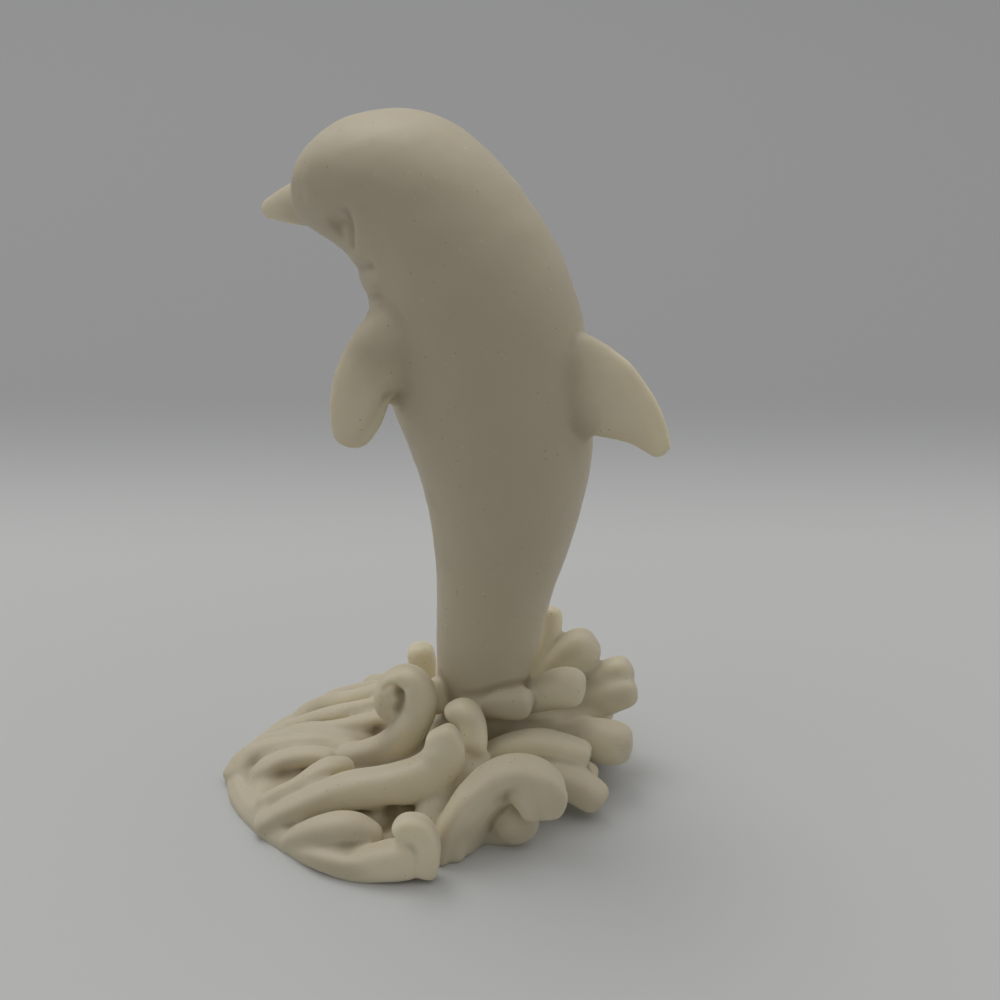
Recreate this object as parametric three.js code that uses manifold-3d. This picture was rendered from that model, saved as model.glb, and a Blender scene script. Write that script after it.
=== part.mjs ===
// Small carved dolphin in alabaster: it leaps upright out of a round swirl of waves, all one piece.
// Millimetres, +Z up. The frame's origin is the middle of the flat underside, the beak points to -X,
// the back fin to +X, and the dolphin's own middle plane lies a little behind the base's centre.
import * as THREE from "three";
import { LoftGeometry } from "three/addons/geometries/LoftGeometry.js";
import { mergeVertices } from "three/addons/utils/BufferGeometryUtils.js";
import Module from "manifold-3d";

// The dolphin
const crownHeight = 116.8; // floor to the top of the head
const backToBelly = 33; // thickest part of the chest, front to back
const sideToSide = 28.8; // thickest part of the chest, flank to flank
const beakLength = 10.5; // from inside the face to the tip
const beakDepth = 7.4;
const beakWidth = 7;
const finReach = 22.5; // from the root in the back to the tip
const finChord = 20; // along the back, at the root
const finThickness = 5.6;
const flipperLength = 25;
const flipperChord = 9.8;
const flipperThickness = 5;

// The waves
const baseRadius = 36; // circle that the swirl fits in
const moundHeight = 13; // solid water under the strands, at the dolphin's foot
const rimHeight = 3.2; // the mound's edge
const strandBreadth = 1; // strands' width, 1 as carved
const strandSides = 7;

// Everything free-form keeps its pose as shares of these two
const body = crownHeight / 116.8;
const wave = baseRadius / 36;
const planeY = 6 * wave; // the dolphin's middle plane
const footX = 7 * wave; // middle of its foot on the mound

const wasm = await Module();
wasm.setup();

const vec = (x, y, z) => new THREE.Vector3(x, y, z);
const up = vec(0, 0, 1);

// A closed geometry as a solid that can be joined and cut.
function solidOf(geometry) {
  const plain = new THREE.BufferGeometry();
  plain.setAttribute("position", geometry.getAttribute("position"));
  plain.setIndex(geometry.index);
  const merged = mergeVertices(plain, 1e-4);
  return new wasm.Manifold(new wasm.Mesh({
    numProp: 3,
    vertProperties: merged.getAttribute("position").array,
    triVerts: new Uint32Array(merged.index.array),
  }));
}

// A solid skin through rings of points, closed flat at both ends.
function skin(rings) {
  return solidOf(new LoftGeometry(rings, { capStart: true, capEnd: true }));
}

// Rows of numbers as one smooth run: at(t) gives a row for t from 0 to 1.
function smooth(rows) {
  const wide = rows[0].length;
  const curves = [];
  for (let c = 0; c < wide; c += 3) {
    const points = rows.map((row) => vec(row[c] ?? 0, row[c + 1] ?? 0, row[c + 2] ?? 0));
    curves.push(new THREE.CatmullRomCurve3(points, false, "catmullrom", 0.5));
  }
  return (t) => curves.flatMap((curve) => curve.getPoint(t).toArray()).slice(0, wide);
}

// A rounded tube along stations [x, y, z, half width, half thickness].
// facing is the way its thin direction looks; across, when given, is its broad direction instead.
function sweep(stations, { sides = strandSides, rings = 4, facing = up, across, blunt = 1 } = {}) {
  const at = smooth(stations);
  const path = new THREE.CatmullRomCurve3(
    stations.map(([x, y, z]) => vec(x, y, z)), false, "catmullrom", 0.5,
  );
  const length = path.getLength();
  const capOf = (row) => Math.min(blunt * Math.min(row[3], row[4]), 0.4 * length);
  const first = capOf(stations[0]);
  const final = capOf(stations[stations.length - 1]);
  const marks = [];
  for (const turn of [18, 52]) {
    const angle = THREE.MathUtils.degToRad(turn);
    marks.push([first * (1 - Math.cos(angle)), Math.sin(angle)]);
  }
  for (let i = 0; i <= rings; i++) {
    marks.push([first + ((length - first - final) * i) / rings, 1]);
  }
  for (const turn of [52, 18]) {
    const angle = THREE.MathUtils.degToRad(turn);
    marks.push([length - final * (1 - Math.cos(angle)), Math.sin(angle)]);
  }
  const made = marks.map(([run, scale]) => {
    const t = path.getUtoTmapping(run / length);
    const row = at(t);
    const tangent = path.getTangent(t);
    const thin = across
      ? across.clone().cross(tangent).normalize()
      : facing.clone().addScaledVector(tangent, -facing.dot(tangent)).normalize();
    const broad = thin.clone().cross(tangent);
    const ring = [];
    for (let k = 0; k < sides; k++) {
      const angle = (2 * Math.PI * k) / sides;
      ring.push(
        vec(row[0], row[1], row[2])
          .addScaledVector(broad, row[3] * scale * Math.cos(angle))
          .addScaledVector(thin, row[4] * scale * Math.sin(angle)),
      );
    }
    return ring;
  });
  return skin(made);
}

// Body and head: each rib is [back x, back z, belly x, belly z, half width, egg], from the foot to the face.
// The ribs fan round the throat, where the head bends forward. egg narrows a rib on its belly or jaw side.
function dolphinBody() {
  const ribs = [
    [13.3, 8, -0.4, 8, 6.1, 0],
    [15, 17, -0.8, 16, 6.8, 0],
    [17.5, 27, -0.9, 25, 8, 0],
    [19.6, 36, -0.7, 34, 8.9, 0],
    [22.2, 44, -0.9, 43, 10, 0],
    [24.8, 54, -2.2, 53, 11.7, 0],
    [26.1, 63, -4.6, 61.3, 13.4, 0],
    [25.7, 70, -7.2, 67, 14, 0],
    [25.1, 77, -9.5, 72.6, 14.3, 0],
    [24.1, 84, -11.1, 78.3, 14.4, 0],
    [22.1, 91, -11.7, 83.5, 14.2, 0],
    [18.5, 98.3, -12.2, 87.3, 13.7, 0.02],
    [13.3, 105.3, -13.6, 90.3, 13, 0.06],
    [6.3, 111.9, -15.7, 92.5, 12.4, 0.12],
    [-1, 115.8, -18.2, 93.8, 11.8, 0.18],
    [-8.7, 116.8, -20.8, 94.9, 11, 0.22],
    [-16.6, 115, -23.2, 95.9, 9.4, 0.24],
    [-22.5, 110.9, -24.8, 96.8, 6.8, 0.2],
    [-24.7, 107, -25.2, 98.8, 3.8, 0],
    [-25.2, 104.4, -25.2, 101.2, 1.6, 0],
  ];
  const depth = backToBelly / 33 / body;
  const width = sideToSide / 28.8;
  const at = smooth(ribs);
  const sides = 20;
  const count = 28;
  const rings = [];
  for (let i = 0; i <= count; i++) {
    const [bx, bz, fx, fz, half, egg] = at(i / count);
    const middle = vec(((bx + fx) / 2) * body, planeY, ((bz + fz) / 2) * body);
    const reach = vec(((bx - fx) / 2) * body, 0, ((bz - fz) / 2) * body).multiplyScalar(depth);
    const ring = [];
    for (let k = 0; k < sides; k++) {
      const angle = (2 * Math.PI * k) / sides;
      const aside = half * width * Math.sin(angle) * (1 + egg * Math.cos(angle));
      ring.push(middle.clone().addScaledVector(reach, Math.cos(angle)).add(vec(0, aside, 0)));
    }
    rings.push(ring);
  }
  return skin(rings);
}

// Short blunt beak, its upper side a little hollow and its lower side running on into the jaw.
function beak() {
  const root = vec(-23.2 * body, planeY, 100.2 * body);
  const aim = vec(-0.965, 0, -0.26).normalize();
  const shares = [
    [0, 1.05, 1.15],
    [0.3, 1, 1],
    [0.55, 0.78, 0.78],
    [0.8, 0.54, 0.55],
    [1, 0.34, 0.36],
  ];
  const stations = shares.map(([run, deep, broad]) => {
    const p = root.clone().addScaledVector(aim, run * beakLength);
    return [p.x, p.y, p.z, (beakDepth / 2) * deep, (beakWidth / 2) * broad];
  });
  return sweep(stations, { sides: 10, rings: 4, facing: vec(0, 1, 0) });
}

// The back fin, raked down towards the tail.
function backFin() {
  const root = vec(16.5 * body, planeY, 77.5 * body);
  const shares = [
    [0, 0, 1.15, 1.3],
    [0.36, -0.08, 0.99, 1],
    [0.62, -0.17, 0.72, 0.78],
    [0.85, -0.31, 0.45, 0.55],
    [1.03, -0.51, 0.16, 0.3],
  ];
  const stations = shares.map(([out, down, chord, thick]) => [
    root.x + out * finReach,
    root.y,
    root.z + down * finReach,
    (finChord / 2) * chord,
    (finThickness / 2) * thick,
  ]);
  return sweep(stations, { sides: 10, rings: 8, facing: vec(0, 1, 0) });
}

// A flipper hangs out and down from the chest; side is -1 for the dolphin's left, 1 for its right.
function flipper(side) {
  const root = vec(-1 * body, planeY + side * 6 * body, 84 * body);
  const shares = [
    [0, 0, 0, 1.2, 1.5],
    [-0.12, 0.28, -0.1, 1.15, 1.25],
    [-0.2, 0.4, -0.3, 1.05, 1.05],
    [-0.23, 0.46, -0.53, 0.9, 0.95],
    [-0.26, 0.5, -0.74, 0.6, 0.75],
  ];
  const stations = shares.map(([out, aside, down, chord, thick]) => [
    root.x + out * flipperLength,
    root.y + side * aside * flipperLength,
    root.z + down * flipperLength,
    (flipperChord / 2) * chord,
    (flipperThickness / 2) * thick,
  ]);
  const broad = vec(0.55, side * -0.25, -0.8).normalize();
  return sweep(stations, { sides: 10, rings: 7, across: broad });
}

// The mound of water under the strands: a disc of uneven edge that rises to the dolphin's foot.
// Its edge is far in on the right, where the waves overhang.
function mound() {
  const sides = 32;
  const edgeShares = [0.5, 0.58, 0.72, 0.83, 0.88, 0.88, 0.92, 1, 0.97, 0.93, 0.5, 0.43];
  const edge = new THREE.CatmullRomCurve3(
    edgeShares.map((share, i) => {
      const angle = (2 * Math.PI * i) / edgeShares.length;
      return vec(Math.cos(angle), Math.sin(angle), 0).multiplyScalar(share * baseRadius);
    }),
    true,
  );
  const climb = moundHeight - rimHeight;
  const profile = [
    [0.98, 0],
    [1, 0.4 * rimHeight],
    [0.97, 0.8 * rimHeight],
    [0.9, rimHeight],
    [0.68, rimHeight + 0.13 * climb],
    [0.48, rimHeight + 0.34 * climb],
    [0.25, rimHeight + 0.8 * climb],
    [0.1, moundHeight],
  ];
  const rings = profile.map(([share, z]) => {
    const ring = [];
    for (let k = 0; k < sides; k++) {
      const p = edge.getPoint(k / sides).multiplyScalar(share);
      ring.push(vec(p.x + footX * (1 - share), p.y + planeY * (1 - share), z));
    }
    return ring;
  });
  return skin(rings);
}

const toViewer = vec(0.42, -0.91, 0); // the way the front curls face

// Strands of water. Stations are drawn for a base radius of 36 and grow with it.
const strands = [
  // the tall curl beside the foot
  { across: toViewer, rings: 17, rows: [
    [-20.5, -10.7, 3.5, 2.2, 1.8], [-13.8, -10.2, 5.5, 2.5, 2.2], [-8.7, -9.6, 6.8, 2.8, 2.4],
    [-4.4, -8.8, 8.6, 2.9, 2.7], [-1.3, -7.5, 11, 2.9, 2.9], [0.3, -5.9, 14.5, 2.9, 2.9],
    [0.4, -5.3, 18, 2.9, 2.7], [-1.4, -5.3, 20.4, 2.8, 2.3], [-3.9, -5.6, 20.8, 2.7, 2],
    [-6, -6.6, 19.2, 2.6, 1.7], [-6, -6.9, 16.8, 2.4, 1.5], [-4.6, -6.2, 16, 2.2, 1.3], [-4, -5.6, 17.4, 2, 1.1],
  ] },
  // the broad paddle that rises in front of it
  { across: toViewer, rings: 12, rows: [
    [-19.6, -28.4, 0.5, 4.6, 2.4], [-13.5, -26.8, 4.6, 4, 2.6], [-8, -23.9, 7, 3.5, 2.7], [-1.9, -21, 8.5, 3.3, 2.8],
    [3.6, -18.8, 9.5, 3.4, 3], [7.1, -15.6, 10.8, 3.4, 3.2], [8.8, -13.2, 13.2, 3.3, 3.1], [8, -12.6, 16.2, 3, 2.7],
    [7, -13, 18.6, 2.4, 2.2],
  ] },
  // small leaves between the two
  { rows: [
    [-24, -24, 1.5, 2.6, 1.6], [-17.9, -22, 4.8, 2.3, 1.7], [-13.9, -18.5, 7, 2.2, 1.9], [-10.8, -16, 8.2, 2.3, 2],
    [-8.4, -15.2, 8.2, 1.8, 1.7],
  ] },
  { rows: [[-26.8, -21, 1.5, 2.2, 1.6], [-23.3, -19.1, 4.3, 2, 1.6], [-19.4, -15.6, 6.4, 2, 1.6], [-13.8, -13, 7.8, 2, 1.6]] },
  // the leaf at the front and the hook that holds it
  { rows: [
    [-13, -32.6, 0.3, 2.2, 1.6], [-7.3, -31.4, 3.4, 3, 2.3], [-2.1, -29.4, 5, 3.5, 3], [1.8, -27.8, 5.5, 3.1, 2.8],
    [3.6, -26.6, 5.2, 2.3, 2.1],
  ] },
  { across: toViewer, rings: 12, rows: [
    [-10.5, -32.6, 0.2, 2, 1.5], [-2.4, -34, 1.4, 2.6, 2], [5, -32.8, 2.6, 3, 2.6], [10.4, -30.8, 3.8, 3.1, 3],
    [13.2, -29.6, 6.2, 3, 2.8], [13, -29.6, 9.4, 2.8, 2.2], [11, -30.6, 10.6, 2.4, 1.8], [9.8, -31.4, 9, 2, 1.5],
  ] },
  // the breaking wave on the right, with a bead of water under it
  { across: toViewer, rings: 13, rows: [
    [13.3, -21.6, -1, 4.4, 3], [14.4, -19.8, 4, 4.8, 3], [16.4, -17, 8.8, 5, 2.8], [19.6, -14.2, 12.2, 5.1, 2.6],
    [24.4, -12.8, 13.2, 5.2, 2.6], [28.6, -12.6, 11.4, 5, 2.9], [30, -13.6, 8, 4, 2.7], [28.6, -15, 5, 2.8, 2],
  ] },
  { sides: 9, rows: [[18, -9, 4, 3, 3], [24, -13, 4, 4, 4], [28.2, -18, 4, 4.2, 4.2]] },
  // the wall of water behind it, which the hollow under its crest ends on
  { across: up, rows: [[5, -13, 4, 4, 3], [11.5, -15, 4.6, 5, 3.2], [17, -11.5, 5.4, 5, 3], [20, -6, 5.4, 4, 2.6], [20, 0, 4, 3, 2.6]] },
  // the arched lump and the two fingers that start from it
  { across: toViewer, rings: 8, rows: [
    [13, -8, 5, 2.6, 2.4], [12.2, -5.4, 9, 2.6, 2.4], [10.6, -3.6, 13, 2.7, 2.6], [8.4, -3.8, 16.2, 2.6, 2.4],
    [5.4, -5.2, 16.6, 2.3, 2],
  ] },
  { rows: [[5.5, -1, 14, 2.4, 2.2], [10, 0.2, 16.4, 2.6, 2.5], [14.6, 1.8, 17.4, 2.7, 2.6], [18, 2.4, 17.3, 2.4, 2.4]] },
  { rows: [[11, 5, 13, 2.2, 2.2], [16, 6.4, 16.6, 2.6, 2.5], [21, 8.2, 18.3, 3.1, 3], [24.6, 9.2, 18.3, 2.9, 2.8]] },
  // fingers of the right side
  { rows: [[11, -3.6, 7, 2.4, 2.2], [17, -0.6, 10.6, 2.3, 2.1], [23.2, 1.6, 10.9, 2.2, 2.1], [28.4, 3, 9.3, 2, 1.9]] },
  { rows: [[12, 0, 5.4, 2.4, 2.2], [18, 0.6, 6.8, 2.2, 2], [24.6, 2.2, 6.6, 2.1, 1.9], [30.2, 4.2, 4.8, 1.6, 1.5]] },
  { rows: [[15, 9, 6, 3, 3], [22.6, 9.6, 8.6, 3.2, 3.2], [28.4, 10, 9.2, 3.6, 3.5], [33.4, 11, 8.6, 3.2, 3.2]] },
  { rows: [[12, -3, 4, 2.8, 2.6], [17.6, -3.2, 4.8, 2.6, 2.4], [24.4, -2, 5, 2.5, 2.3], [29, -1, 4.2, 2.6, 2.4], [33.4, -0.8, 3.1, 2.3, 2.2]] },
  { rows: [[14, 14, 10, 3, 3], [17.8, 17.4, 12.8, 3, 3], [21.4, 20.8, 15.2, 3, 3]] },
  { rows: [[11, 12, 9, 3, 3], [14.8, 16, 14.6, 3.5, 3.4], [18.8, 19, 19, 3.7, 3.6], [22.6, 20.6, 21.8, 3.2, 3.1]] },
  { rows: [[9, 12, 10, 2.8, 2.8], [12.6, 16.6, 17.6, 2.6, 2.5], [13.8, 19.4, 23, 2.2, 2.1], [13.9, 20.8, 26.8, 1.8, 1.8]] },
  { rows: [[14, 13, 7, 3, 3], [20, 17.6, 11.6, 2.9, 2.9], [25.2, 20.6, 15.2, 2.8, 2.6], [28.8, 22, 17.4, 2.4, 2.4]] },
  { rows: [[15, 12, 6, 3, 3], [20.4, 15.8, 9.8, 2.9, 2.9], [26, 18.2, 12.6, 3, 2.9], [30.4, 20.6, 14.2, 2.8, 2.6]] },
  // ridges that fan out to the left rim
  { sides: 6, rows: [[-30, 5.2, 1.2, 3, 2], [-25.2, 6.6, 4.6, 2.5, 1.8], [-19.1, 6.2, 7.4, 2.2, 1.8], [-12, 6.6, 10.6, 2.1, 1.8]] },
  { sides: 6, rows: [[-29.6, -0.6, 1.6, 2.8, 1.8], [-22.4, 0.7, 5.6, 2.2, 1.7], [-16.6, 1.2, 8.2, 2, 1.6], [-10, 3, 10.4, 1.9, 1.6]] },
  { sides: 6, rows: [[-31, -7, 1.2, 2.8, 1.8], [-23.5, -5.3, 5.2, 2.4, 1.7], [-17.2, -3.9, 7, 2.2, 1.6], [-9, -1, 9.4, 2, 1.5]] },
  { sides: 6, rows: [[-29.7, -18.8, 0.8, 2.6, 1.6], [-29, -14, 3.6, 2.5, 1.7], [-23.4, -11, 5.8, 2.3, 1.7], [-15.4, -7.6, 6.8, 2, 1.5]] },
  { sides: 6, rows: [[-31.4, -13, 0.8, 2.8, 1.6], [-28.4, -9, 3.4, 2.7, 1.7], [-21, -7.4, 5.6, 2.3, 1.6]] },
  // the far side: the same run of curl, paddle, leaf, hook and fingers, plainer
  { across: toViewer, rings: 10, rows: [
    [-24, 20, 1.6, 3, 2], [-16, 18.6, 5.4, 2.8, 2.2], [-9.6, 17.6, 8, 2.6, 2.4], [-6.2, 15.8, 11.4, 2.5, 2.4],
    [-7.4, 14.2, 14.8, 2.5, 2.4], [-10.2, 14, 14.8, 2.3, 2], [-11, 14.6, 12.6, 2, 1.5],
  ] },
  { sides: 6, rows: [[-28.6, 12.4, 1.2, 3.2, 1.9], [-21, 12.6, 5, 2.7, 1.9], [-14, 11.6, 7.8, 2.4, 1.8], [-7, 10, 10.4, 2.2, 1.8]] },
  { across: toViewer, rings: 8, rows: [
    [-19, 27.4, 0.5, 4.6, 2.4], [-12.5, 26, 4.2, 4.2, 2.7], [-6, 24.4, 6.4, 3.8, 2.8], [0.4, 23, 8, 3.6, 2.9],
    [5.6, 21, 10, 3.4, 2.8], [8, 18.6, 13.4, 3.1, 2.5],
  ] },
  { rows: [[-12, 31.4, 0.5, 3, 1.8], [-6, 30.6, 3.2, 3.3, 2.3], [0, 29.4, 4.6, 3.5, 2.8], [4.6, 27.6, 4.8, 2.8, 2.4]] },
  { across: toViewer, rings: 8, rows: [
    [-3, 32.8, 0.5, 2.4, 1.8], [4, 32, 2.2, 3, 2.4], [10, 29.8, 3.8, 3.1, 2.9], [13, 27.8, 6.6, 2.9, 2.5],
    [11.6, 27.2, 9.6, 2.5, 2],
  ] },
  { rows: [[8, 17, 6, 3.2, 2.8], [14.6, 22.6, 8.6, 3, 2.6], [18.6, 26.6, 8.6, 2.7, 2.5]] },
  { rows: [[12, 16, 5, 3, 2.6], [19.6, 21, 6.6, 2.8, 2.5], [24.4, 24.6, 5.6, 2.6, 2.4]] },
  { rows: [[14, 12, 4, 3, 2.6], [23, 15, 5, 2.8, 2.5], [29, 16.6, 4, 2.5, 2.3]] },
];

function carve() {
  const scaled = (rows) =>
    rows.map(([x, y, z, w, t]) => [
      x * wave, y * wave, z * wave, w * wave * strandBreadth, t * wave * strandBreadth,
    ]);
  const pieces = [dolphinBody(), beak(), backFin(), flipper(-1), flipper(1), mound()];
  for (const { rows, ...how } of strands) pieces.push(sweep(scaled(rows), how));
  let whole = pieces[0];
  for (const piece of pieces.slice(1)) whole = whole.add(piece);
  return whole;
}

// Everything below the floor comes off, which leaves the flat underside.
function aboveFloor(solid) {
  const reach = 4 * baseRadius;
  return solid.subtract(solidOf(new THREE.BoxGeometry(reach, reach, reach).translate(0, 0, -reach / 2)));
}

const carved = aboveFloor(carve()).getMesh();
const geometry = new THREE.BufferGeometry();
geometry.setAttribute("position", new THREE.BufferAttribute(new Float32Array(carved.vertProperties), 3));
geometry.setIndex(new THREE.BufferAttribute(new Uint32Array(carved.triVerts), 1));
geometry.computeVertexNormals();

const alabaster = new THREE.MeshStandardMaterial({ color: 0xd8cdb8, roughness: 0.5, metalness: 0 });
const sculpture = new THREE.Mesh(geometry, alabaster);
sculpture.name = "dolphin_sculpture";

const group = new THREE.Group();
group.add(sculpture);

export default group;
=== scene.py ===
# Small alabaster dolphin that leaps upright out of a round swirl of waves.
import math
import bmesh
import bpy
import numpy as np
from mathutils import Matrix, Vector, noise
from mathutils.bvhtree import BVHTree


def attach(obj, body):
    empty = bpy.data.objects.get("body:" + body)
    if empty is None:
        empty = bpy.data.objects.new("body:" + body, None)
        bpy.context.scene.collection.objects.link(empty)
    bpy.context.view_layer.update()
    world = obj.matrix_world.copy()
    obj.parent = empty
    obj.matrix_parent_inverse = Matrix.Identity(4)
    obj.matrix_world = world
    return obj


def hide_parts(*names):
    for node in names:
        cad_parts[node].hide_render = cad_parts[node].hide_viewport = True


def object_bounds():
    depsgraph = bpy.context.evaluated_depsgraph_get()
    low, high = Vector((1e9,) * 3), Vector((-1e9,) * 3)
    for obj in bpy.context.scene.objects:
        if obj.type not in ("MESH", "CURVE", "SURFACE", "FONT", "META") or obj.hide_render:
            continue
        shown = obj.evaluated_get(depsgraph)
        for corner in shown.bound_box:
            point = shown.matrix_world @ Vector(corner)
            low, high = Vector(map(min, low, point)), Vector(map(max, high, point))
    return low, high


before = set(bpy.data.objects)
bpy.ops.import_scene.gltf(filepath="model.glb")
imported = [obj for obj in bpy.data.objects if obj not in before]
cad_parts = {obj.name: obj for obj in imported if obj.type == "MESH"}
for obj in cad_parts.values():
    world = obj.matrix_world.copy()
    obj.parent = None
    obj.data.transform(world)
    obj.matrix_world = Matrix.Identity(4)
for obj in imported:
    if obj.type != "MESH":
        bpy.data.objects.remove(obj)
cadLow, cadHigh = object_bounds()

metre = 1000.0                                        # sizes below are millimetres
drawnHeight = 116.8                                   # height that they are drawn for
grow = cadHigh.z * metre / drawnHeight
dolphinMiddle = 6.0                                   # the dolphin's middle plane, its y
middleY = dolphinMiddle * grow
print("frame loaded, sizes grow by", round(grow, 4))


def unit(v):
    v = np.asarray(v, float)
    return v / np.maximum(np.linalg.norm(v, axis=-1, keepdims=True), 1e-12)


# Camera, at the photograph's angle

photoView = {
    "azimuth": 25.0,                                  # degrees round from the dolphin's left side
    "elevation": 24.0,                                # degrees down
    "distance": 384.4,                                # mm to the middle of the base, along the view
    "imageSize": 1000.0,
    "focalPixels": 2172.0,
    "basePixel": (432.0, 774.0),                      # where the middle of the base falls
    "sensor": 36.0,                                   # mm
    "near": 0.01, "far": 20,                          # metres
}


def makeCamera(v):
    a = math.radians(v["azimuth"])
    e = math.radians(v["elevation"])
    back = Vector((math.sin(a) * math.cos(e), -math.cos(a) * math.cos(e), math.sin(e)))
    right = Vector((math.cos(a), math.sin(a), 0))
    upward = back.cross(right)
    half = v["imageSize"] / 2
    aside = (v["basePixel"][0] - half) / v["focalPixels"] * v["distance"]
    lift = (half - v["basePixel"][1]) / v["focalPixels"] * v["distance"]
    data = bpy.data.cameras.new("photoCamera")
    data.sensor_width = v["sensor"]
    data.lens = v["focalPixels"] / v["imageSize"] * v["sensor"]
    data.clip_start = v["near"]
    data.clip_end = v["far"]
    camera = bpy.data.objects.new("photoCamera", data)
    camera.location = (back * v["distance"] - right * aside - upward * lift) * grow / metre
    camera.rotation_mode = "QUATERNION"
    camera.rotation_quaternion = (-back).to_track_quat("-Z", "Y")
    bpy.context.scene.collection.objects.link(camera)
    bpy.context.scene.camera = camera


makeCamera(photoView)


# Helpers for meshes

def smoothRows(rows, count):                          # a smooth run of count rows through the rows
    rows = np.asarray(rows, float)
    padded = np.vstack([2 * rows[0] - rows[1], rows, 2 * rows[-1] - rows[-2]])
    t = np.linspace(0, len(rows) - 1, count)
    i = np.minimum(t.astype(int), len(rows) - 2)
    f = (t - i)[:, None]
    a, b, c, d = (padded[i + k] for k in range(4))
    square = (2 * a - 5 * b + 4 * c - d) * f**2
    cube = (3 * b - a - 3 * c + d) * f**3
    return 0.5 * (2 * b + (c - a) * f + square + cube)


def loftMesh(name, rings):
    count, sides, _ = rings.shape
    points = np.concatenate([rings.reshape(-1, 3), rings[:1].mean(1), rings[-1:].mean(1)])
    faces = []
    for r in range(count - 1):
        for s in range(sides):
            n = (s + 1) % sides
            faces.append((r * sides + s, r * sides + n, (r + 1) * sides + n, (r + 1) * sides + s))
    first = count * sides
    last = first + 1
    for s in range(sides):
        n = (s + 1) % sides
        faces.append((first, n, s))
        faces.append((last, (count - 1) * sides + s, (count - 1) * sides + n))
    mesh = bpy.data.meshes.new(name)
    mesh.from_pydata((points / metre).tolist(), [], faces)
    return mesh


def linked(name, mesh):
    made = bpy.data.objects.new(name, mesh)
    bpy.context.scene.collection.objects.link(made)
    return made


def applied(made, name):                              # a plain mesh with the object's modifiers in it
    bpy.context.view_layer.update()
    graph = bpy.context.evaluated_depsgraph_get()
    mesh = bpy.data.meshes.new_from_object(made.evaluated_get(graph))
    mesh.name = name
    return mesh


def joined(name, meshes):
    bm = bmesh.new()
    for mesh in meshes:
        bm.from_mesh(mesh)
    mesh = bpy.data.meshes.new(name)
    bm.to_mesh(mesh)
    bm.free()
    return mesh


# The dolphin's body and head

dolphin = {
    "girthSides": 88,
    "ribSteps": 170,
    "ribs": [                                         # back x, back z, belly x, belly z, half width, egg
        [13.3, 4, -0.4, 4, 6.1, 0], [15, 17, -0.8, 16, 6.8, 0], [17.5, 27, -0.9, 25, 8, 0],
        [19.6, 36, -0.7, 34, 8.9, 0], [22.2, 44, -0.9, 43, 10, 0], [24.8, 54, -2.2, 53, 11.7, 0],
        [26.1, 63, -4.6, 61.3, 13.4, 0], [25.7, 70, -7.2, 67, 14, 0], [25.1, 77, -9.5, 72.6, 14.3, 0],
        [24.1, 84, -11.1, 78.3, 14.4, 0], [22.1, 91, -11.7, 83.5, 14.2, 0],
        [18.5, 98.3, -12.2, 87.3, 13.7, 0.02], [13.3, 105.3, -13.6, 90.3, 13, 0.06],
        [6.3, 111.9, -15.7, 92.5, 12.4, 0.12], [-1, 115.8, -18.2, 93.8, 11.8, 0.18],
        [-8.7, 116.8, -20.8, 94.9, 11, 0.22], [-16.6, 115, -23.2, 95.9, 9.4, 0.24],
        [-22.5, 110.9, -24.8, 96.8, 6.8, 0.2], [-24.7, 107, -25.2, 98.8, 3.8, 0],
        [-25.2, 104.4, -25.2, 101.2, 1.6, 0],
    ],
}


def dolphinBody(d):
    turn = np.linspace(0, 2 * math.pi, d["girthSides"], endpoint=False)
    rings = []
    for bx, bz, fx, fz, half, egg in smoothRows(d["ribs"], d["ribSteps"]):
        reach = np.cos(turn)
        x = (bx + fx) / 2 + (bx - fx) / 2 * reach
        z = (bz + fz) / 2 + (bz - fz) / 2 * reach
        y = half * np.sin(turn) * (1 + egg * reach)
        rings.append(np.stack([x * grow, y * grow + middleY, z * grow], 1))
    return loftMesh("dolphinBody", np.array(rings))


# Everything swept along a path: beak, fins and the strands of water.
# A station is x, y, z, half width, half thickness.

toViewer = (0.42, -0.91, 0)                           # the way the front curls face
sideways = (0, 1, 0)


def strand(rows, facing=(0, 0, 1), across=None, square=2.0):
    # square 2 is an ellipse, and more is boxier
    rows = np.asarray(rows, float) * grow
    way = unit(np.gradient(rows[:, :3], axis=0))
    thin = np.cross(across, way) if across is not None else np.tile(facing, (len(rows), 1))
    return rows, unit(thin - way * (thin * way).sum(1, keepdims=True)), square


beakStations = {
    "root": (-23.2, 6, 100.2), "aim": (-0.965, 0, -0.26), "length": 10.5, "depth": 7.4, "width": 7,
    "shares": [                                       # run, depth, width
        [-0.2, 1.25, 1.5], [0, 1.16, 1.35], [0.15, 1.08, 1.15], [0.35, 0.97, 0.96], [0.55, 0.78, 0.78],
        [0.8, 0.54, 0.55], [1, 0.34, 0.36],
    ],
}
finStations = {
    "root": (16.5, 6, 77.5), "reach": 22.5, "chord": 20, "thickness": 5.6,
    "shares": [                                       # out, down, chord, thickness
        [0, -0.08, 0.92, 3.2], [0.16, -0.09, 0.94, 2.8], [0.28, -0.1, 0.93, 2.0],
        [0.38, -0.108, 0.91, 1.45], [0.5, -0.13, 0.84, 1.05], [0.62, -0.17, 0.72, 0.82],
        [0.85, -0.31, 0.45, 0.55], [1.03, -0.51, 0.16, 0.3],
    ],
}
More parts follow.
